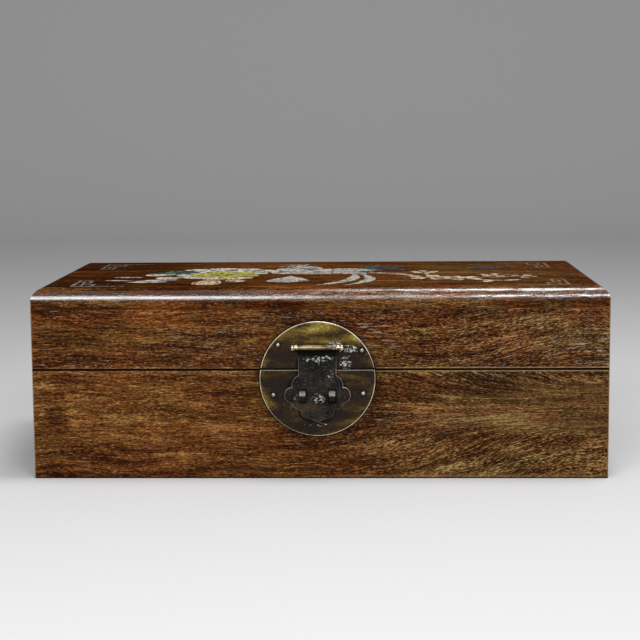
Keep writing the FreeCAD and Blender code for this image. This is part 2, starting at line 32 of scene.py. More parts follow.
# places that the finishes follow, all read from the frame
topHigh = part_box("lid_top_panel")[1]
baseLow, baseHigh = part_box("base_front_board")
plateLow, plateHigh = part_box("lock_plate_lower")
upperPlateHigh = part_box("lock_plate_upper")[1]
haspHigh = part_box("hasp")[1]
eyeLow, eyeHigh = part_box("lock_eye_left")
heartLow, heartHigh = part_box("inlay_peony_heart")
topZ = topHigh.z
seamZ = baseHigh.z                          # where the case and the lid part
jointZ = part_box("lid_front_board")[1].z     # where the top board lies on the lid's front board
halfLength = topHigh.x
halfDepth = -baseLow.y
lockX = (plateLow.x + plateHigh.x) / 2
lockRadius = (upperPlateHigh.z - plateLow.z) / 2
lockZ = plateLow.z + lockRadius
barrelRadius = 1.7 * mm
barrelZ = haspHigh.z - barrelRadius
eyeZ = (eyeLow.z + eyeHigh.z) / 2
heart = (heartLow + heartHigh) / 2


# camera: a long lens a little to the right of the middle, looking slightly down
cameraView = {
    "place": (26.5 * mm, -898.6 * mm, 186.9 * mm),
    "lens": 90.09,              # mm
    "sensor": 36,
    "pitch": 7.19,              # degrees down
    "yaw": -1.81,
    "roll": -0.411,
}


def aimCamera(view):
    pitch, yaw, roll = (math.radians(view[key]) for key in ("pitch", "yaw", "roll"))
    ahead = Vector((math.sin(yaw) * math.cos(pitch), math.cos(yaw) * math.cos(pitch), -math.sin(pitch)))
    level = Vector((math.cos(yaw), -math.sin(yaw), 0))
    upright = level.cross(ahead)
    right = level * math.cos(roll) + upright * math.sin(roll)
    up = upright * math.cos(roll) - level * math.sin(roll)
    data = bpy.data.cameras.new("camera")
    data.lens = view["lens"]
    data.sensor_width = view["sensor"]
    camera = bpy.data.objects.new("camera", data)
    scene.collection.objects.link(camera)
    turn = Matrix((right, up, -ahead)).transposed()
    camera.matrix_world = Matrix.Translation(view["place"]) @ turn.to_4x4()
    scene.camera = camera


aimCamera(cameraView)
print("camera placed")


# small helpers for material nodes
fromFront = (1, 0, 1)           # weights of a distance as seen from the front
fromAbove = (1, 1, 0)
easedEdge = (0.985, 0.93)       # how squarely a surface faces an axis where such an edge starts and is full
noiseMiddle = 0.5


def addNode(tree, kind, inputs=None, **settings):
    node = tree.nodes.new("ShaderNode" + kind)
    for key, value in settings.items():
        setattr(node, key, value)
    for key, value in (inputs or {}).items():
        if isinstance(value, bpy.types.NodeSocket):
            tree.links.new(value, node.inputs[key])
        else:
            node.inputs[key].default_value = value
    return node


def calc(tree, operation, first, second=0.0):
    return addNode(tree, "Math", {0: first, 1: second}, operation=operation).outputs[0]


def chain(tree, operation, values):
    result = values[0]
    for value in values[1:]:
        result = calc(tree, operation, result, value)
    return result


def add(tree, *values):
    return chain(tree, "ADD", values)


def times(tree, *values):
    return chain(tree, "MULTIPLY", values)


def most(tree, *values):
    return chain(tree, "MAXIMUM", values)


def less(tree, value, taken):
    return calc(tree, "SUBTRACT", value, taken)


def gap(tree, value, middle):
    return calc(tree, "ABSOLUTE", less(tree, value, middle))


def vectorCalc(tree, operation, first, second):
    return addNode(tree, "VectorMath", {0: first, 1: second}, operation=operation).outputs[0]


def distanceTo(tree, place, point, weights):
    # a direction with a weight of nought is left out
    apart = vectorCalc(tree, "SUBTRACT", place, point)
    apart = vectorCalc(tree, "MULTIPLY", apart, weights)
    return addNode(tree, "VectorMath", {0: apart}, operation="LENGTH").outputs["Value"]


def reachOf(tree, place, oval, middle=(0, 0)):
    # how far out a point of the front lies, as a share of an oval's half width and half height
    right, above, halfWide, halfHigh = (size * mm for size in oval)
    point = (middle[0] + right, 0, middle[1] + above)
    return distanceTo(tree, place, point, (1 / halfWide, 0, 1 / halfHigh))


def stretch(tree, place, scale, shift=(0, 0, 0), turn=(0, 0, 0)):
    inputs = {"Vector": place, "Scale": scale, "Location": shift, "Rotation": turn}
    return addNode(tree, "Mapping", inputs).outputs[0]


def pattern(tree, place, scale, detail, rough=0.6, shift=(0, 0, 0), turn=(0, 0, 0), output="Fac"):
    # a noise, its fineness given per metre along each axis
    laid = stretch(tree, place, scale, shift, turn)
    inputs = {"Vector": laid, "Scale": 1, "Detail": detail, "Roughness": rough}
    return addNode(tree, "TexNoise", inputs).outputs[output]


def nudge(tree, place, scale, reach, detail=2, rough=0.5):
    # pushes the lines of a pattern aside by a soft noise
    sway = pattern(tree, place, scale, detail, rough, output="Color")
    sway = vectorCalc(tree, "SUBTRACT", sway, (noiseMiddle, noiseMiddle, noiseMiddle))
    return vectorCalc(tree, "ADD", place, vectorCalc(tree, "MULTIPLY", sway, reach))


def between(tree, value, low, high, toLow=0.0, toHigh=1.0):
    # a soft step; pairs and fours in the looks are from where to where it goes, and its strength at the two
    inputs = {"Value": value, "From Min": low, "From Max": high, "To Min": toLow, "To Max": toHigh}
    return addNode(tree, "MapRange", inputs, interpolation_type="SMOOTHSTEP").outputs[0]


def colours(tree, value, stops):
    node = addNode(tree, "ValToRGB", {0: value})
    bar = node.color_ramp
    while len(bar.elements) < len(stops):
        bar.elements.new(0.5)
    for element, (position, colour) in zip(bar.elements, stops):
        element.position = position
        element.color = (*colour, 1)
    return node.outputs[0]


def blendIn(tree, amount, under, over, mode="MIX"):
    node = addNode(tree, "Mix", {0: amount}, data_type="RGBA", blend_type=mode)
    for socket, value in ((node.inputs[6], under), (node.inputs[7], over)):     # its two colours
        if isinstance(value, bpy.types.NodeSocket):
            tree.links.new(value, socket)
        else:
            socket.default_value = (*value, 1)
    return node.outputs[2]


def bump(tree, height, depth, strength=1.0, normal=None):
    inputs = {"Height": height, "Distance": depth, "Strength": strength}
    if normal:
        inputs["Normal"] = normal
    return addNode(tree, "Bump", inputs).outputs[0]


def split(tree, place):
    return addNode(tree, "SeparateXYZ", {0: place}).outputs


def cutEdges(tree):
    # 1 where the surface turns away from all three axes: eased edges and bevels
    facing = addNode(tree, "TexCoord").outputs["Normal"]
    x, y, z = split(tree, vectorCalc(tree, "ABSOLUTE", facing, facing))
    return between(tree, most(tree, x, y, z), *easedEdge)


def newMaterial(name, settings):
    material = bpy.data.materials.new(name)
    material.use_nodes = True
    tree = material.node_tree
    shader = tree.nodes["Principled BSDF"]
    for key, value in settings.items():
        shader.inputs[key].default_value = value
    place = addNode(tree, "TexCoord").outputs["Object"]
    return material, tree, shader, place


def drive(tree, shader, **sockets):
    for key, value in sockets.items():
        tree.links.new(value, shader.inputs[key.replace("_", " ")])


def finishNode(name, material):
    slots = nodes[name].data.materials
    slots.clear()
    slots.append(material)


# waxed rosewood
rosewood = {
    "darkest": (0.014, 0.0045, 0.0012),
    "dark": (0.041, 0.0135, 0.0035),
    "middle": (0.098, 0.0385, 0.0105),
    "light": (0.178, 0.086, 0.024),
    "golden": (0.350, 0.215, 0.077),
    "pore": (0.012, 0.005, 0.002),
    # pale flecks: painted sheen on the pores, with dust and scuffs
    "sheenAndDust": (0.34, 0.29, 0.23),
    # rubbed: worn edges, and a painted highlight along the eased edges beside the parting
    "rubbed": (0.50, 0.32, 0.14),
    # darkening: painted shade in the parting, a painted contact shadow at the foot, a painted shadow with
    # grime round the lock plate, and dark joints
    "darkening": (0.003, 0.002, 0.002),
    "redTint": (1.08, 0.62, 0.42),
    "goldTint": (1.15, 1.16, 0.75),
}
rosewoodStops = [
    (0.16, rosewood["darkest"]),
    (0.34, rosewood["dark"]),
    (0.50, rosewood["middle"]),
    (0.66, rosewood["light"]),
    (0.88, rosewood["golden"]),
]
patches = {
    # lighter and darker places on the front: to the right and up, half width and half height in mm, amount
    "case": [
        (-146, 51, 8, 7, 0.12), (-112, 25, 30, 5, 0.05), (-137, 30, 7, 8, -0.22), (-139, 42, 8, 7, -0.12),
        (-112, 11, 12, 5, -0.08), (-68, 21, 18, 4, -0.12), (-42, 44, 12, 10, -0.06), (-14, 8, 22, 9, -0.06),
        (24, 41, 14, 14, -0.13), (40, 50, 26, 7, -0.12), (58, 31, 22, 7, 0.22), (40, 17, 28, 9, 0.22),
        (98, 30, 22, 5, 0.18), (126, 14, 26, 6, 0.09), (86, 12, 13, 5, -0.16), (112, 20, 28, 4, -0.14),
        (85, 49, 28, 5, -0.10), (134, 43, 22, 4, -0.10), (88, 59, 45, 2.5, 0.13), (138, 53, 16, 3, 0.08),
    ],
    "lid": [
        (108, 87.5, 50, 5, -0.15), (142, 72, 12, 8, 0.06), (-17, 90, 14, 4, -0.12),
        # the next line's patch at -110 and 91 is a painted glow below the rounding's highlight
        (-110, 91, 55, 3.5, 0.20), (-85, 85, 16, 6, 0.14), (62, 79, 22, 4, -0.11),
        (-125, 76, 28, 7, -0.07), (-142, 70, 8, 6, -0.08), (40, 84.5, 25, 3.5, 0.11),
        (-40, 67, 10, 6, -0.08), (104, 71, 20, 6, 0.07), (120, 63, 14, 3, 0.08),
    ],
}
caseLook = {
    "lift": -0.045,                     # lighter or darker all over
    "rise": 0.0,                        # lighter towards the right
    "contrast": 1.0,
    "patches": [],
    "redness": 0.45,
    "gold": 0.35,
    "pale": (0.96, 1.16, 1.42),         # tint of the right-hand end
    "fleckiness": -0.12,
    "scuff": (9, 9, 9),                 # middle of the scuffed place; where there is none, far off the box
    "dusty": 0.0,                       # longer flecks towards the right-hand end
    "gloss": 0.015,
    "figure": False,                    # the grain climbs and falls to one point at the right
    "slant": 0,                         # the grain falls towards the right
    "plate": False,                     # carries the lock plate, with grime round it
}
lidLook = {
    **caseLook,
    "lift": -0.06,
    "redness": 0.60,
    "gold": 0.20,
    "pale": (0.92, 1.06, 1.32),
    "fleckiness": 0.36,
}
caseFrontLook = {
    **caseLook,
    "patches": patches["case"],
    "figure": True,
    "plate": True,
}
lidFrontLook = {
    **lidLook,
    "patches": patches["lid"],
    "scuff": (lockX + 30 * mm, 0, lockZ + 21 * mm),
    "dusty": 0.09,
    "slant": 16 * mm,
    "plate": True,
}
topLook = {
    **lidLook,
    "lift": -0.18,
    "rise": 0.13,
    "contrast": 0.85,
    "patches": patches["lid"],
    "redness": 0.75,
    "pale": (0.92, 1.05, 1.28),
    "fleckiness": 0.0,
    "gloss": 0.0,
}
insideLook = {
    **caseLook,
    "lift": 0.08,
}
grainSway = {
    # fineness per metre along the grain and across it, and how far the lines are pushed aside
    "long": ((14, 22, 22), (0, 8 * mm, 8 * mm)),
    "short": ((32, 48, 48), (0, 4 * mm, 4 * mm)),
    "frayed": ((60, 170, 170), (0, 1.5 * mm, 1.5 * mm)),
    "patchEdge": ((20, 70, 70), (0, 9 * mm, 9 * mm)),
}
grainLayers = {
    # which lines it follows, fineness per metre along the grain and across it, detail, shift
    "zones": ("frayed", (9, 40, 40), 3, (0, 0, 0)),
    "streaks": ("frayed", (17, 250, 250), 3, (0, 0, 0)),
    "fibres": ("frayed", (66, 1300, 1300), 3, (0, 0, 0)),
    "hues": ("frayed", (26, 75, 75), 3, (0, 0, 0)),
    "threads": ("frayed", (170, 2000, 2000), 2, (5, 1, 8)),
    "pores": ("frayed", (115, 1700, 1700), 2, (1, 5, 3)),
    "grit": ("swept", (560, 2300, 2300), 1, (0, 0, 0)),
    # painted sheen on the pores
    "poreSheen": ("straight", (380, 1900, 1900), 1, (7, 2, 9)),
    "dust": ("straight", (110, 1700, 1700), 1, (4, 8, 1)),
}


# how the grain runs
grainRun = {
    "figureEnds": (15 * mm, 150 * mm),
    "figureRise": 34 * mm,
    "figureBelow": (38 * mm, 22 * mm),
    "figureAbove": (36 * mm, 52 * mm),
    "slantEnds": (50 * mm, 150 * mm),
    "shifts": (1, 0.37, 0.61),              # how a board's cut moves the pattern along each axis
}


def raised(tree, place, lift):
    return vectorCalc(tree, "ADD", place, addNode(tree, "CombineXYZ", {"Z": lift}).outputs[0])


def bendGrain(tree, place, look):
    if look["figure"]:
        across, _, height = split(tree, place)
        rise = times(tree, between(tree, across, *grainRun["figureEnds"]), grainRun["figureRise"])
        below = between(tree, height, *grainRun["figureBelow"])
        above = between(tree, height, *grainRun["figureAbove"])
        place = raised(tree, place, times(tree, rise, less(tree, above, below)))
    if look["slant"]:
        across = split(tree, place)[0]
        place = raised(tree, place, between(tree, across, *grainRun["slantEnds"], 0, -look["slant"]))
    return place


def layGrain(tree, bent, along, cut):
    turn = (0, 0, math.radians(-90)) if along == "Y" else (0, 0, 0)
    straight = stretch(tree, bent, (1, 1, 1), [cut * share for share in grainRun["shifts"]], turn)
    swept = nudge(tree, nudge(tree, straight, *grainSway["long"]), *grainSway["short"])
    frayed = nudge(tree, swept, *grainSway["frayed"])
    return {"straight": straight, "swept": swept, "frayed": frayed}


# how the layers add up to light and dark wood
grainMix = {
    "zones": 1.15,
    "patchedZones": 0.80,               # where patches do a part of their work
    "streaks": 0.75,
    "fibres": 0.95,
    "busyEnds": (-20 * mm, 80 * mm),    # the grain gets busier over this stretch
    "plainGrit": 1.0,
    "grit": (1.05, 1.60),               # left and right of that stretch, as for the next two
    "threads": (0.12, 0.32),
    "evened": (0.010, 0.048),           # taken off again, as the threads make the wood lighter
    "threadLines": (0.52, 0.72),
    "middle": 1.42,                     # the sum's own middle, about which contrast works
    "level": 0.49,                      # the tone that this middle becomes
    "patchFade": (1.35, 0.25),          # shares of a patch's half size
    "riseEnds": (-110 * mm, 10 * mm),
}


def patchwork(tree, place, ovals):
    ragged = nudge(tree, place, *grainSway["patchEdge"])
    total = 0.0
    for *oval, amount in ovals:
        reach = reachOf(tree, ragged, oval)
        total = add(tree, total, between(tree, reach, *grainMix["patchFade"], 0, amount))
    return total


def grainTone(tree, look, spot, layers):
    mix = grainMix
    across = spot["across"]
    zoneShare = mix["patchedZones"] if look["patches"] else mix["zones"]
    gritShare = between(tree, across, *mix["busyEnds"], *mix["grit"]) if look["plate"] else mix["plainGrit"]
    threads = between(tree, layers["threads"], *mix["threadLines"])
    tone = add(
        tree,
        times(tree, layers["zones"], zoneShare),
        (mix["zones"] - zoneShare) / 2,
        times(tree, layers["streaks"], mix["streaks"]),
        times(tree, layers["fibres"], mix["fibres"]),
        times(tree, less(tree, layers["grit"], noiseMiddle), gritShare),
        times(tree, threads, between(tree, across, *mix["busyEnds"], *mix["threads"])),
    )
    tone = less(tree, tone, between(tree, across, *mix["busyEnds"], *mix["evened"]))
    level = mix["level"] - mix["middle"] * look["contrast"] + look["lift"]
    tone = add(tree, times(tree, tone, look["contrast"]), level)
    if look["patches"]:
        patched = patchwork(tree, spot["place"], look["patches"])
        tone = add(tree, tone, times(tree, patched, spot["outside"]))
    if look["rise"]:
        tone = add(tree, tone, between(tree, across, *mix["riseEnds"], 0, look["rise"]))
    return tone


# tints, open pores, and pale flecks: painted sheen on the pores, with dust and scuffs
woodTints = {
    "red": (0.60, 0.42),
    "gold": (0.46, 0.62),
    "pale": (0, 90 * mm),           # towards the right-hand end
}
fleckLook = {
    "poreLines": (0.56, 0.64),
    "poreStrength": 0.60,
    "zones": (0.58, 0.36, -0.06, 0.05),     # more flecks in dark wood
    "base": -0.07,
    "step": 0.08,                   # what a fleckiness of 1 adds
    "short": (0.65, 0.71),
    "long": (0.68, 0.73),
    "scuff": (28 * mm, 8 * mm, 0, 0.13),
    "scuffWeights": (1, 0, 2),
    "dustyEnds": (100 * mm, 146 * mm),
    "strength": 0.50,
}


def tinted(tree, look, spot, layers, colour):
    hues = layers["hues"]
    red = between(tree, hues, *woodTints["red"], 0, look["redness"])
    colour = blendIn(tree, red, colour, rosewood["redTint"], "MULTIPLY")
    gold = between(tree, hues, *woodTints["gold"], 0, look["gold"])
    colour = blendIn(tree, gold, colour, rosewood["goldTint"], "MULTIPLY")
    pale = between(tree, spot["across"], *woodTints["pale"])
    return blendIn(tree, pale, colour, look["pale"], "MULTIPLY")


def flecked(tree, look, spot, layers, colour, pores):
    marks = fleckLook
    colour = blendIn(tree, times(tree, pores, marks["poreStrength"]), colour, rosewood["pore"])
    density = between(tree, layers["zones"], *marks["zones"])
    density = add(tree, density, marks["step"] * look["fleckiness"] + marks["base"])
    # the short flecks are painted sheen on the pores; the long ones are dust and scuffs
    short = between(tree, add(tree, layers["poreSheen"], density), *marks["short"])
    fromScuff = distanceTo(tree, spot["bent"], look["scuff"], marks["scuffWeights"])
    scuffed = between(tree, fromScuff, *marks["scuff"])
    dusty = between(tree, spot["across"], *marks["dustyEnds"], 0, look["dusty"])
    density = add(tree, density, scuffed, dusty)
    long = between(tree, add(tree, layers["dust"], density), *marks["long"])
    return blendIn(tree, times(tree, most(tree, short, long), marks["strength"]), colour, rosewood["sheenAndDust"])


# rubbed edges with a painted highlight along the parting; painted shade in the parting, a painted contact
# shadow at the foot, dark joint lines, and a painted shadow with grime round the lock plate
woodWearAndHighlight = {
    "rounding": (topZ - 8 * mm, topZ - 5 * mm),
    # a painted highlight, with wear, on the eased edges beside the parting
    "seam": (1.5 * mm, 0.8 * mm),
    "seamEnds": (-40 * mm, 80 * mm, 0.2, 1.0),
    "foot": (2.2 * mm, 1.4 * mm),
    "footEnds": (-5 * mm, 20 * mm),
    "footShare": 0.4,
    "strength": 0.35,
}
woodShadeAndGrime = {
    "skin": (1.6 * mm, 0.6 * mm),           # how deep under the outer faces it starts and is full
    # painted shade in the parting between lid and case
    "seam": (0.70 * mm, 0.50 * mm),
    # a painted contact shadow along the bottom edge
    "foot": (0.8 * mm, 0.5 * mm),
    "joint": (0.55 * mm, 0.30 * mm, 0, 0.60),
    "jointEnds": (40 * mm, 110 * mm, 1.0, 0.3),
    # a painted shadow of the lock plate's edge on the wood, with grime, and a wider halo of it
    "plateEdge": (lockRadius + 1.4 * mm, lockRadius + 0.3 * mm, 0, 0.85),
    "halo": (lockRadius + 6 * mm, lockRadius, 0, 0.35),
}


def skinOf(tree, value, half):
    start, full = woodShadeAndGrime["skin"]
    return between(tree, calc(tree, "ABSOLUTE", value), half - start, half - full)


def woodSpot(tree, place, look):
    # where on the box a point of the wood lies
    across, deep, height = split(tree, place)
    return {
        "place": place,
        "bent": bendGrain(tree, place, look),
        "across": across,
        "height": height,
        "fromSeam": gap(tree, height, seamZ),
        "outside": most(tree, skinOf(tree, across, halfLength), skinOf(tree, deep, halfDepth)),
        "rounded": between(tree, height, *woodWearAndHighlight["rounding"]),
    }


def wornAndHighlit(tree, spot, colour):
    across = spot["across"]
    edges = times(tree, cutEdges(tree), less(tree, 1.0, spot["rounded"]))
    # a painted highlight, with wear, on the eased edges beside the parting
    seam = times(tree, between(tree, spot["fromSeam"], *woodWearAndHighlight["seam"]),
                 between(tree, across, *woodWearAndHighlight["seamEnds"]))
    foot = times(tree, between(tree, spot["height"], *woodWearAndHighlight["foot"]),
                 between(tree, across, *woodWearAndHighlight["footEnds"]), woodWearAndHighlight["footShare"])
    rubbed = times(tree, most(tree, edges, seam, foot), woodWearAndHighlight["strength"])
    return blendIn(tree, rubbed, colour, rosewood["rubbed"])


def shadedAndGrimy(tree, look, spot, colour):
    # painted shade in the parting and a painted contact shadow at the foot; the joint is a dark joint line
    seam = between(tree, spot["fromSeam"], *woodShadeAndGrime["seam"])
    foot = between(tree, spot["height"], *woodShadeAndGrime["foot"])
    joint = times(tree, between(tree, gap(tree, spot["height"], jointZ), *woodShadeAndGrime["joint"]),
                  between(tree, spot["across"], *woodShadeAndGrime["jointEnds"]))
    darkening = most(tree, seam, foot, joint)
    if look["plate"]:
        # a painted shadow with grime round the lock plate
        fromLock = distanceTo(tree, spot["place"], (lockX, 0, lockZ), fromFront)
        plateEdge = between(tree, fromLock, *woodShadeAndGrime["plateEdge"])
        darkening = most(tree, darkening, plateEdge, between(tree, fromLock, *woodShadeAndGrime["halo"]))
    return blendIn(tree, times(tree, darkening, spot["outside"]), colour, rosewood["darkening"])


# the wax: bright along the lid's rounding, patchy towards the right-hand end
wax = {
    "shader": {"Roughness": 0.55, "Coat Roughness": 0.20, "Coat IOR": 2.1},
    "roughness": (0.35, 0.65, 0.45, 0.62),
    "fibreShare": 0.6,
    "depth": 0.08 * mm,
    "woodRelief": 0.5,
    "waxRelief": (-60 * mm, 60 * mm, 0.22, 0.60),
    "drop": (-20 * mm, 40 * mm, 1.6 * mm, 0.5 * mm),    # how far below the top the bright band ends
    "upperEdge": (topZ + 0.3 * mm, topZ - 0.3 * mm),
    "patches": ((70, 420, 420), 3, 0.7, (2, 2, 2)),
    "bare": (0.42, 0.58, 0.75, 0),
    "bareEnds": (-50 * mm, 40 * mm, 0.15, 1),
    "weight": 0.9,
    "glossShare": 0.5,
}


def waxCoat(tree, look, spot, lines):
    across = spot["across"]
    upper = add(tree, spot["height"], between(tree, across, *wax["drop"]))
    polished = times(tree, spot["rounded"], between(tree, upper, *wax["upperEdge"]))
    bare = between(tree, pattern(tree, lines["straight"], *wax["patches"]), *wax["bare"])
    bare = times(tree, bare, between(tree, across, *wax["bareEnds"]))
    coat = times(tree, less(tree, 1.0, bare), wax["weight"], polished)
    return add(tree, coat, wax["glossShare"] * look["gloss"])


def makeWood(name, look, along, cut):
    settings = {**wax["shader"], "Specular IOR Level": look["gloss"]}
    material, tree, shader, place = newMaterial(name, settings)
    spot = woodSpot(tree, place, look)
    lines = layGrain(tree, spot["bent"], along, cut)
    layers = {}
    for key, (follows, scale, detail, shift) in grainLayers.items():
        layers[key] = pattern(tree, lines[follows], scale, detail, shift=shift)
    pores = between(tree, layers["pores"], *fleckLook["poreLines"])
    colour = colours(tree, grainTone(tree, look, spot, layers), rosewoodStops)
    colour = tinted(tree, look, spot, layers, colour)
    colour = flecked(tree, look, spot, layers, colour, pores)
    colour = wornAndHighlit(tree, spot, colour)
    colour = shadedAndGrimy(tree, look, spot, colour)
    surface = less(tree, times(tree, layers["fibres"], wax["fibreShare"]), pores)
    waxRelief = between(tree, spot["across"], *wax["waxRelief"])
    drive(
        tree, shader,
        Base_Color=colour,
        Roughness=between(tree, layers["streaks"], *wax["roughness"]),
        Normal=bump(tree, surface, wax["depth"], wax["woodRelief"]),
        Coat_Normal=bump(tree, surface, wax["depth"], waxRelief),
        Coat_Weight=waxCoat(tree, look, spot, lines),
    )
    return material


# every wooden piece
woodPieces = [
    # its material, its look, the axis its grain follows, and where in the plank it was cut, in metres
    ("base_front_board", "caseWood_front", caseFrontLook, "X", 5.44),
    ("base_back_board", "caseWood_back", caseLook, "X", 6.27),
    ("base_left_board", "caseWood_left", caseLook, "Y", 7.10),
    ("base_right_board", "caseWood_right", caseLook, "Y", 7.93),
    ("lid_front_board", "lidWood_front", lidFrontLook, "X", 1.17),
    ("lid_back_board", "lidWood_back", lidLook, "X", 1.88),
    ("lid_left_board", "lidWood_left", lidLook, "Y", 2.59),
    ("lid_right_board", "lidWood_right", lidLook, "Y", 3.30),
    ("lip_front_strip", "lipWood_front", insideLook, "X", 2.3),
    ("lip_back_strip", "lipWood_back", insideLook, "X", 2.8),
    ("lip_left_strip", "lipWood_left", insideLook, "Y", 3.3),
    ("lip_right_strip", "lipWood_right", insideLook, "Y", 3.8),
    ("lid_top_panel", "topWood", topLook, "X", 4.1),
    ("base_bottom_panel", "bottomWood", insideLook, "X", 5.2),
    ("divider", "dividerWood", insideLook, "Y", 6.6),
    ("base_corner_splines", "base_corner_splines_wood", insideLook, "X", 7.4),
    ("lid_corner_splines", "lid_corner_splines_wood", insideLook, "X", 7.4),
]
for node, *wood in woodPieces:
    finishNode(node, makeWood(*wood))
print("wood finished")


# brass: dark patina, rubbed bright where hands and edges meet, crusted where polish has dried
brass = {
    "black": (0.019, 0.012, 0.008),
    "brown": (0.046, 0.026, 0.010),
    "olive": (0.150, 0.098, 0.017),
    "yellow": (0.36, 0.29, 0.07),
    "bright": (1.0, 0.92, 0.66),
    "tan": (0.34, 0.26, 0.14),
    "rust": (0.11, 0.065, 0.035),
    "crust": (0.62, 0.64, 0.55),
}
crustSpots = [
    # to the right of the lock's middle, above it, half width, half height, strength
    (1.5, 10.6, 9.5, 2.0, 0.33),
    (16.5, 15.6, 9.0, 2.2, 0.35),
    (9.0, 18.4, 4.6, 1.6, 0.36),
    (14.8, 8.6, 4.4, 4.4, 0.34),
    (7.2, 2.5, 2.4, 4.6, 0.29),
    (0.2, -10.1, 5.4, 3.4, 0.33),
    (-10.6, -9.5, 2.1, 2.8, 0.31),
    (-0.4, -23.8, 7.4, 0.9, 0.28),
    (-15.5, -14.6, 2.6, 0.9, 0.27),
]
crustLook = {
    "raggedness": ((260, 260, 260), (10 * mm, 0, 6 * mm), 3, 0.7),
    "grains": ((800, 800, 1500), 3, 0.75, (3, 1, 4)),
    "fade": (1.20, 0.60),           # shares of a spot's half size
    "edge": (0.83, 0.92),
    "cover": 0.80,
    "height": 0.15 * mm,
}
patinaLook = {
    "clouds": ((75, 75, 75), 4),
    "specks": ((900, 900, 900), 3),
    "depth": 0.05 * mm,
    "relief": 0.5,
}


def patina(tree, place, shift):
    cloud = pattern(tree, place, *patinaLook["clouds"], shift=(shift, shift, 0))
    speck = pattern(tree, place, *patinaLook["specks"], shift=(0, shift, shift))
    return cloud, speck


def crustMask(tree, place):
    near = 0.0
    ragged = nudge(tree, place, *crustLook["raggedness"])
    for *oval, strength in crustSpots:
        reach = reachOf(tree, ragged, oval, (lockX, lockZ))
        near = most(tree, near, between(tree, reach, *crustLook["fade"], 0, strength))
    grains = pattern(tree, place, *crustLook["grains"])
    return between(tree, add(tree, grains, near), *crustLook["edge"])


def drivePatina(tree, shader, place, speck, colour, rough, metallic):
    # crust is dull, pale and stands a little proud of the metal
    crust = crustMask(tree, place)
    colour = blendIn(tree, times(tree, crust, crustLook["cover"]), colour, brass["crust"])
    bare = times(tree, less(tree, 1.0, crust), metallic)
    proud = bump(tree, crust, crustLook["height"])
    relief = bump(tree, speck, patinaLook["depth"], patinaLook["relief"], proud)
    drive(tree, shader, Base_Color=colour, Roughness=rough, Metallic=bare, Normal=relief)


# the round lock plate
haspShadows = [
    # painted shadow of the hasp on the plate: to the right of the lock's middle, above it, half width, half
    # height
    (-0.8, 4.5, 10.6, 12.0),
    (-0.6, -3.6, 14.6, 7.0),
    (0.0, -8.8, 17.6, 5.0),
    (-0.3, -15.2, 9.8, 8.6),
]
plateLook = {
    "shader": {"Roughness": 0.42},
    "patina": 0.4,
    "brushing": ((60, 60, 210), 4, 0.65, (1, 2, 3)),
    "brushMiddle": 0.11,
    "brushShare": 1.22,
    "speckShare": 0.5,
    "towardsRim": (0.70 * lockRadius, 1.0 * lockRadius, 0, 0.50),
    "rimClouds": (0.40, 0.55),
    "abovePin": (barrelZ - 1 * mm, barrelZ + 4 * mm, 0, 0.80),
    "pinClouds": (0.30, 0.60, 0.45, 1.0),
    "cleanShare": 0.52,
    "shineAt": (lockX - 7 * mm, 0, lockZ + 25 * mm),
    "shineWeights": (1, 0, 2.4),
    "shine": (9 * mm, 3 * mm, 0, 0.12),
    # the plate is darker round a point 26 mm below the lock's middle
    "darkBelowAt": (lockX, 0, lockZ - 26 * mm),
    "darkBelow": (14 * mm, 4 * mm, 0, 0.16),
    "lift": -0.04,
    "nailRing": (2.6 * mm, 1.3 * mm, 0, 0.9),
    "nailRingColour": (0.006, 0.004, 0.004),
    # painted shadow of the hasp on the plate
    "haspShadow": (1.10, 0.99, 0, 0.92),
    "haspShadowColour": (0.005, 0.004, 0.004),
    "rim": (lockRadius - 0.40 * mm, lockRadius - 0.20 * mm),
    "rimWear": (0.35, 0.55, 0.55, 1.0),
    "edgeShare": 0.22,
    # a painted highlight, with rubbing, along the lower plate's top edge below the parting
    "lipBelow": (seamZ - 0.45 * mm, seamZ - 0.30 * mm, 0, 0.45),
    "lipAbove": (seamZ + 0.20 * mm, seamZ + 0.05 * mm),
    # painted shade in the parting between the two plates
    "partingBelow": (seamZ + 0.05 * mm, seamZ + 0.20 * mm),
    "partingAbove": (seamZ + 1.2 * mm, seamZ + 1.0 * mm),
    "partingColour": (0.003, 0.002, 0.002),
    "roughness": (0.35, 0.65, 0.34, 0.55),
    "metallic": (0.2, 1.0, 0.85, 0.30),
}
plateStops = [
    (0.40, brass["black"]),
    (0.58, brass["brown"]),
    (0.82, brass["olive"]),
    (1.0, brass["yellow"]),
]


def nailPlaces():
    places = []
    for name in ("lock_nails_upper", "lock_nails_lower"):
        points = [nodes[name].matrix_world @ vertex.co for vertex in nodes[name].data.vertices]
        for side in (-1, 1):
            group = [point for point in points if side * (point.x - lockX) > 0]
            places.append(sum(group, Vector()) / len(group))
    return places


def plateTone(tree, place, height, reach, cloud, speck):
    look = plateLook
    brushed = pattern(tree, place, *look["brushing"])
    rimward = times(tree, between(tree, reach, *look["towardsRim"]),
                    between(tree, cloud, *look["rimClouds"]))
    upward = times(tree, between(tree, height, *look["abovePin"]),
                   between(tree, cloud, *look["pinClouds"]))
    tone = add(
        tree,
        times(tree, most(tree, rimward, upward), look["cleanShare"]),
        times(tree, less(tree, brushed, look["brushMiddle"]), look["brushShare"]),
        times(tree, less(tree, speck, noiseMiddle), look["speckShare"]),
    )
    shine = distanceTo(tree, place, look["shineAt"], look["shineWeights"])
    tone = add(tree, tone, between(tree, shine, *look["shine"]))
    # darker round a point low on the plate
    darkBelow = distanceTo(tree, place, look["darkBelowAt"], fromFront)
    return add(tree, less(tree, tone, between(tree, darkBelow, *look["darkBelow"])), look["lift"])


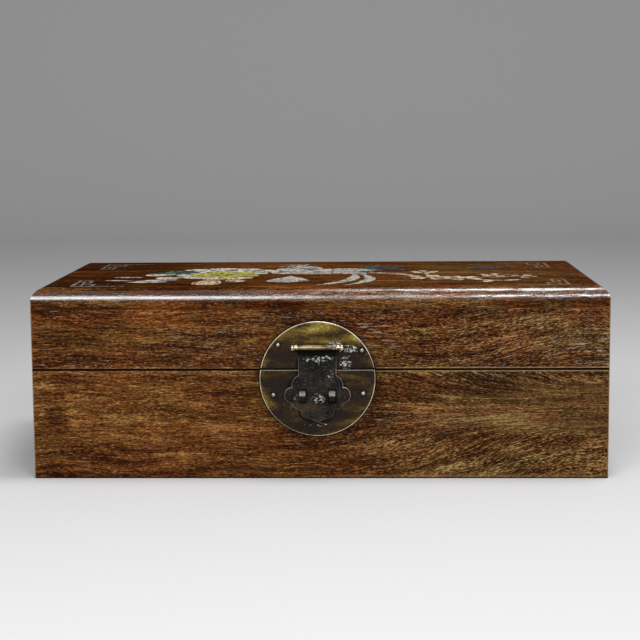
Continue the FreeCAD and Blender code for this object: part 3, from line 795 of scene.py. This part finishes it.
def makePlateBrass():
    look = plateLook
    material, tree, shader, place = newMaterial("plateBrass", look["shader"])
    cloud, speck = patina(tree, place, look["patina"])
    height = split(tree, place)[2]
    reach = distanceTo(tree, place, (lockX, 0, lockZ), fromFront)
    colour = colours(tree, plateTone(tree, place, height, reach, cloud, speck), plateStops)
    for nail in nailPlaces():
        fromNail = distanceTo(tree, place, (nail.x, 0, nail.z), fromFront)
        colour = blendIn(tree, between(tree, fromNail, *look["nailRing"]), colour, look["nailRingColour"])
    # a painted shadow of the hasp darkens the plate round its outline
    for oval in haspShadows:
        spread = reachOf(tree, place, oval, (lockX, lockZ))
        colour = blendIn(tree, between(tree, spread, *look["haspShadow"]), colour, look["haspShadowColour"])
    rim = times(tree, between(tree, reach, *look["rim"]), between(tree, cloud, *look["rimWear"]))
    edges = times(tree, cutEdges(tree), look["edgeShare"])
    # the lip is a painted highlight, with rubbing, on the lower plate's top edge
    lip = times(tree, between(tree, height, *look["lipBelow"]), between(tree, height, *look["lipAbove"]))
    rubbed = most(tree, rim, edges, lip)
    colour = blendIn(tree, rubbed, colour, brass["bright"])
    # painted shade in the parting between the two plates
    parting = times(tree, between(tree, height, *look["partingBelow"]),
                    between(tree, height, *look["partingAbove"]))
    colour = blendIn(tree, parting, colour, look["partingColour"])
    rough = between(tree, speck, *look["roughness"])
    metallic = between(tree, rubbed, *look["metallic"])
    drivePatina(tree, shader, place, speck, colour, rough, metallic)
    return material


# the hasp: darker than the plate, with a handled barrel
haspLook = {
    "shader": {"Roughness": 0.5, "Specular IOR Level": 0.3},
    "patina": 1.3,
    "speckShare": 0.5,
    "foot": (lockZ - 11 * mm, lockZ - 15 * mm, 0, 0.14),
    "stops": [(0.62, (0.008, 0.0065, 0.0065)), (0.80, (0.018, 0.016, 0.016)), (0.94, (0.052, 0.037, 0.022))],
    "scratches": ((500, 1, 1700), 3, 0.7, (2, 0, 1), (0, 0.5, 0)),
    "scratch": (0.58, 0.70, 0, 0.5),
    "scratchColour": (0.17, 0.16, 0.16),
    "edgeClouds": (0.40, 0.60, 0.5, 1.0),
    "edgeAside": (9 * mm, 15 * mm, 0.55, 1.0),      # rubbed more at the sides
    "edgeColour": (0.56, 0.44, 0.31),
    # painted shadow under the barrel
    "shade": (barrelZ - 5.0 * mm, barrelZ - 3.6 * mm),
    "shadeColour": (0.004, 0.003, 0.003),
    "barrel": (barrelZ - 1.0 * mm, barrelZ + 0.5 * mm),
    "barrelClouds": ((110, 1, 300), 2, 0.5),
    "barrelRust": (lockX - 2 * mm, lockX + 10 * mm, 0, 0.14),
    "barrelStops": [(0.4, brass["tan"]), (0.62, brass["rust"])],
    "roughness": (0.35, 0.65, 0.40, 0.60),
    "metallic": 0.9,
}


def makeHaspBrass():
    look = haspLook
    material, tree, shader, place = newMaterial("haspBrass", look["shader"])
    cloud, speck = patina(tree, place, look["patina"])
    across, _, height = split(tree, place)
    tone = add(tree, cloud, between(tree, height, *look["foot"]), times(tree, speck, look["speckShare"]))
    colour = colours(tree, tone, look["stops"])
    scratches = pattern(tree, place, *look["scratches"])
    colour = blendIn(tree, between(tree, scratches, *look["scratch"]), colour, look["scratchColour"])
    edges = times(tree, cutEdges(tree), between(tree, cloud, *look["edgeClouds"]),
                  between(tree, gap(tree, across, lockX), *look["edgeAside"]))
    colour = blendIn(tree, edges, colour, look["edgeColour"])
    # painted shadow under the barrel
    colour = blendIn(tree, between(tree, height, *look["shade"]), colour, look["shadeColour"])
    rust = pattern(tree, place, *look["barrelClouds"])
    rust = add(tree, rust, between(tree, across, *look["barrelRust"]))
    barrel = between(tree, height, *look["barrel"])
    colour = blendIn(tree, barrel, colour, colours(tree, rust, look["barrelStops"]))
    rough = between(tree, speck, *look["roughness"])
    drivePatina(tree, shader, place, speck, colour, rough, look["metallic"])
    return material


# the small brass pieces
plainBrass = {
    "rough": 0.34,
    "metallic": 0.9,
    "rubbed": 0.35,
    "shadeBelow": None,             # the height under which a painted shade darkens the piece
}
plainBrasses = {
    "beadBrass": {
        "light": (0.80, 0.72, 0.50), "dark": (0.30, 0.24, 0.13), "patina": 2.1,
        "rough": 0.26, "shadeBelow": barrelZ - 0.6 * mm,
    },
    "loopBrass": {
        "light": (0.50, 0.42, 0.26), "dark": (0.05, 0.04, 0.02), "patina": 2.5,
        "rough": 0.36, "shadeBelow": barrelZ,
    },
    "eyeBrass": {
        "light": (0.21, 0.17, 0.14), "dark": (0.05, 0.05, 0.04), "patina": 2.9,
        "rough": 0.55, "metallic": 0.70, "rubbed": 0.05, "shadeBelow": eyeZ + 0.9 * mm,
    },
    "nailBrass": {
        "light": (0.40, 0.39, 0.36), "dark": (0.11, 0.10, 0.08), "patina": 3.4,
        "rough": 0.26, "rubbed": 0.12,
    },
    "hingeBrass": {
        "light": brass["olive"], "dark": brass["brown"], "patina": 4.7,
        "rough": 0.42,
    },
}
plainPatina = {
    "cloudShare": 0.6,
    "speckShare": 0.4,
    "stops": (0.38, 0.62),
    "shade": (0.3 * mm, -0.8 * mm),         # above and below that height, where the painted shade starts and is full
    "shadeColour": (0.006, 0.005, 0.004),
    "depth": 0.04 * mm,
    "relief": 0.5,
}
brassOf = {
    "hasp_pin": "beadBrass",
    "hasp_pin_loops": "loopBrass",
    "lock_eye_left": "eyeBrass",
    "lock_eye_right": "eyeBrass",
    "lock_nails_upper": "nailBrass",
    "lock_nails_lower": "nailBrass",
    "hinge_nails_upper": "nailBrass",
    "hinge_nails_lower": "nailBrass",
    "hinge_left_upper_leaf": "hingeBrass",
    "hinge_left_lower_leaf": "hingeBrass",
    "hinge_left_pin": "hingeBrass",
    "hinge_right_upper_leaf": "hingeBrass",
    "hinge_right_lower_leaf": "hingeBrass",
    "hinge_right_pin": "hingeBrass",
}


def makePlainBrass(name, look):
    age = plainPatina
    settings = {"Metallic": look["metallic"], "Roughness": look["rough"]}
    material, tree, shader, place = newMaterial(name, settings)
    cloud, speck = patina(tree, place, look["patina"])
    tone = add(tree, times(tree, cloud, age["cloudShare"]), times(tree, speck, age["speckShare"]))
    colour = colours(tree, tone, list(zip(age["stops"], (look["dark"], look["light"]))))
    colour = blendIn(tree, times(tree, cutEdges(tree), look["rubbed"]), colour, brass["bright"])
    # painted shade on the lower part of the piece
    if look["shadeBelow"]:
        above, below = (look["shadeBelow"] + apart for apart in age["shade"])
        darkening = between(tree, split(tree, place)[2], above, below)
        colour = blendIn(tree, darkening, colour, age["shadeColour"])
    drive(tree, shader, Base_Color=colour, Normal=bump(tree, speck, age["depth"], age["relief"]))
    return material


plateBrass = makePlateBrass()
finishNode("lock_plate_upper", plateBrass)
finishNode("lock_plate_lower", plateBrass)
finishNode("hasp", makeHaspBrass())
smallBrasses = {name: makePlainBrass(name, {**plainBrass, **look}) for name, look in plainBrasses.items()}
for node, name in brassOf.items():
    finishNode(node, smallBrasses[name])
print("brass finished")


# mother-of-pearl and abalone
shellLook = {
    "shader": {"Roughness": 0.45, "Specular IOR Level": 0.03},
    "layers": ((260, 90, 10), 3),
    "layerStops": (0.34, 0.52),
    "gleams": ((110, 45, 10), 3, 0.6, (1, 2, 3)),
    "gleam": (0.50, 0.64, 0, 0.8),
    "cuts": ((420, 160, 10), 2, 0.6, (4, 2, 0)),
    "cut": (0.55, 0.62, 0, 0.8),
    "veins": ((16, 60, 1), 3, 0.7),         # round the flower's heart and out from it
    "vein": (0.52, 0.60, 0, 0.85),
    "veinShade": 0.35,
    "chips": ((700, 110, 10), 2, 0.6, (2, 5, 0)),
    "chip": (0.57, 0.66, 0, 0.7),
    "chipShade": 0.5,
    "marks": (),
}
shellLooks = {
    "white": {
        "light": (0.64, 0.59, 0.50), "dark": (0.15, 0.12, 0.09), "bright": (0.44, 0.46, 0.42),
        "marks": ("warm",),
    },
    "grey": {
        "light": (0.51, 0.46, 0.40), "dark": (0.11, 0.09, 0.08), "bright": (0.33, 0.35, 0.36),
        "marks": ("cheek", "warm"),
    },
    "yellow": {
        "light": (0.50, 0.44, 0.075), "dark": (0.16, 0.13, 0.015), "bright": (0.38, 0.41, 0.10),
    },
    "green": {
        "light": (0.055, 0.120, 0.095), "dark": (0.006, 0.011, 0.013), "bright": (0.03, 0.035, 0.07),
        "layerStops": (0.44, 0.62),
    },
    "blue": {
        "light": (0.50, 0.46, 0.39), "dark": (0.12, 0.12, 0.10), "bright": (0.31, 0.34, 0.34),
    },
    "pink": {
        "light": (0.65, 0.51, 0.35), "dark": (0.14, 0.10, 0.055), "bright": (0.56, 0.43, 0.33),
    },
    "dim": {
        "light": (0.15, 0.12, 0.09), "dark": (0.04, 0.03, 0.02), "bright": (0.11, 0.11, 0.10),
        "marks": ("faded",),
    },
}
shellOf = {
    "inlay_peony_heart": "yellow",
    "inlay_peony_petals": "white",
    "inlay_sprays": "grey",
    "inlay_bird_body": "grey",
    "inlay_bird_wing": "blue",
    "inlay_tail_plumes": "blue",
    "inlay_dark_leaves": "green",
    "inlay_butterfly": "green",
    "inlay_blossoms": "pink",
    "inlay_branch": "pink",
    "inlay_corner_frets": "dim",
}
shellMarks = {
    # faded frets, the bird's cheek, and the warm tips at the flower's lower left
    "rubbedFront": (0, -20 * mm),
    "rubbedLayers": (0.40, 0.55, 0.3, 1),
    "rubbedTint": (2.2, 2.2, 2.2),
    "fadedRight": (0, 60 * mm, 0, 0.65),
    "cheekAt": (-8.5 * mm, 24.5 * mm, 0),
    "cheek": (5.0 * mm, 2.5 * mm, 0, 0.85),
    "cheekColour": (0.05, 0.06, 0.09),
    "warmFront": (-24 * mm, -36 * mm),
    "warmRight": (-38 * mm, -42 * mm),
    "warmLeft": (-74 * mm, -70 * mm),
    "warmTint": (0.90, 0.72, 0.54),
}


def darker(colour, share):
    return tuple(share * part for part in colour)


def engraved(tree, place, look, colour):
    # cuts and chips all over, and veins outwards from the flower's heart
    cuts = pattern(tree, place, *look["cuts"])
    colour = blendIn(tree, between(tree, cuts, *look["cut"]), colour, look["dark"])
    apart = split(tree, vectorCalc(tree, "SUBTRACT", place, heart))
    around = calc(tree, "ARCTAN2", apart[1], apart[0])
    out = distanceTo(tree, place, heart, fromAbove)
    spoke = addNode(tree, "CombineXYZ", {"X": around, "Y": out}).outputs[0]
    veins = pattern(tree, spoke, *look["veins"])
    veinColour = darker(look["dark"], look["veinShade"])
    colour = blendIn(tree, between(tree, veins, *look["vein"]), colour, veinColour)
    chips = pattern(tree, place, *look["chips"])
    chipColour = darker(look["dark"], look["chipShade"])
    return blendIn(tree, between(tree, chips, *look["chip"]), colour, chipColour)


def markShell(tree, place, look, layers, colour):
    marks = shellMarks
    across, deep, _ = split(tree, place)
    if "faded" in look["marks"]:
        rubbed = times(tree, between(tree, deep, *marks["rubbedFront"]),
                       between(tree, layers, *marks["rubbedLayers"]))
        colour = blendIn(tree, rubbed, colour, marks["rubbedTint"], "MULTIPLY")
        colour = blendIn(tree, between(tree, across, *marks["fadedRight"]), colour, rosewood["light"])
    if "cheek" in look["marks"]:
        fromCheek = distanceTo(tree, place, marks["cheekAt"], fromAbove)
        colour = blendIn(tree, between(tree, fromCheek, *marks["cheek"]), colour, marks["cheekColour"])
    if "warm" in look["marks"]:
        warm = times(tree, between(tree, deep, *marks["warmFront"]),
                     between(tree, across, *marks["warmRight"]),
                     between(tree, across, *marks["warmLeft"]))
        colour = blendIn(tree, warm, colour, marks["warmTint"], "MULTIPLY")
    return colour


def makeShell(name, look):
    material, tree, shader, place = newMaterial(name, look["shader"])
    layers = pattern(tree, place, *look["layers"])
    colour = colours(tree, layers, list(zip(look["layerStops"], (look["dark"], look["light"]))))
    gleams = pattern(tree, place, *look["gleams"])
    colour = blendIn(tree, between(tree, gleams, *look["gleam"]), colour, look["bright"])
    colour = engraved(tree, place, look, colour)
    colour = markShell(tree, place, look, layers, colour)
    drive(tree, shader, Base_Color=colour)
    return material


shells = {key: makeShell(key + "Shell", {**shellLook, **look}) for key, look in shellLooks.items()}
for node, key in shellOf.items():
    finishNode(node, shells[key])
print("shell finished")


# floor, backdrop and lamps, in metres and watts
studio = {
    "paper": {"Roughness": 0.85, "Specular IOR Level": 0.2},
    "floorGrey": (0.68, 0.68, 0.69),
    "floorShade": 0.97,             # of the paper's darker specks
    "floorSpecks": ((400, 400, 400), 3),
    "speckStops": (0.3, 0.7),
    "floorTop": -0.1 * mm,
    "halfWidth": 4,
    "front": -3,
    "back": 1.6,                    # where the floor turns up
    "bend": 0.8,
    "bendSteps": 24,
    "wall": 2,
    "worldStrength": 0.29,
    "lamps": [
        # name, place, aimed at, size, power
        ("keyLeft", (-0.34, -1.05, 0.70), (-0.08, -0.08, 0.09), (0.66, 0.42), 7.3),
        ("keyRight", (0.36, -1.05, 0.86), (0.08, -0.08, 0.09), (0.48, 0.27), 5.6),
        ("fill", (1.2, -1.0, 0.5), (0, 0, 0.05), (0.8, 0.8), 2.5),
        ("back", (0.23, -0.03, 1.07), (0.12, -0.08, 0.1), (0.30, 0.40), 5.0),
    ],
}


def onlyOf(items, kind):
    return [item for item in items if isinstance(item, kind)]


def shapeFloor():
    mesh = bmesh.new()
    halfWidth, front, back = studio["halfWidth"], studio["front"], studio["back"]
    near = [mesh.verts.new((x, front, studio["floorTop"])) for x in (-halfWidth, halfWidth)]
    laid = bmesh.ops.extrude_edge_only(mesh, edges=[mesh.edges.new(near)])["geom"]
    farVerts = onlyOf(laid, bmesh.types.BMVert)
    bmesh.ops.translate(mesh, verts=farVerts, vec=(0, back - front, 0))
    farEdge = [edge for edge in onlyOf(laid, bmesh.types.BMEdge) if set(edge.verts) == set(farVerts)]
    bent = bmesh.ops.spin(mesh, geom=farVerts + farEdge, cent=(0, back, studio["bend"]), axis=(1, 0, 0),
                          angle=math.radians(90), steps=studio["bendSteps"])["geom_last"]
    risen = bmesh.ops.extrude_edge_only(mesh, edges=onlyOf(bent, bmesh.types.BMEdge))["geom"]
    bmesh.ops.translate(mesh, verts=onlyOf(risen, bmesh.types.BMVert), vec=(0, 0, studio["wall"]))
    for face in mesh.faces:
        face.smooth = True
    data = bpy.data.meshes.new("floor")
    mesh.to_mesh(data)
    mesh.free()
    return data


def makeFloor():
    data = shapeFloor()
    floor = bpy.data.objects.new("floor", data)
    scene.collection.objects.link(floor)
    material, tree, shader, place = newMaterial("floorPaper", studio["paper"])
    specks = pattern(tree, place, *studio["floorSpecks"])
    greys = (darker(studio["floorGrey"], studio["floorShade"]), studio["floorGrey"])
    drive(tree, shader, Base_Color=colours(tree, specks, list(zip(studio["speckStops"], greys))))
    data.materials.append(material)


def addLamp(name, place, target, size, power):
    data = bpy.data.lights.new(name, "AREA")
    data.shape = "RECTANGLE"
    data.size, data.size_y = size
    data.energy = power
    lamp = bpy.data.objects.new(name, data)
    scene.collection.objects.link(lamp)
    lamp.location = place
    lamp.rotation_euler = (Vector(target) - Vector(place)).to_track_quat("-Z", "Y").to_euler()


makeFloor()
for lamp in studio["lamps"]:
    addLamp(*lamp)
world = bpy.data.worlds.new("studio")
scene.world = world
world.use_nodes = True
world.node_tree.nodes["Background"].inputs["Color"].default_value = (1, 1, 1, 1)
world.node_tree.nodes["Background"].inputs["Strength"].default_value = studio["worldStrength"]
print("studio ready")
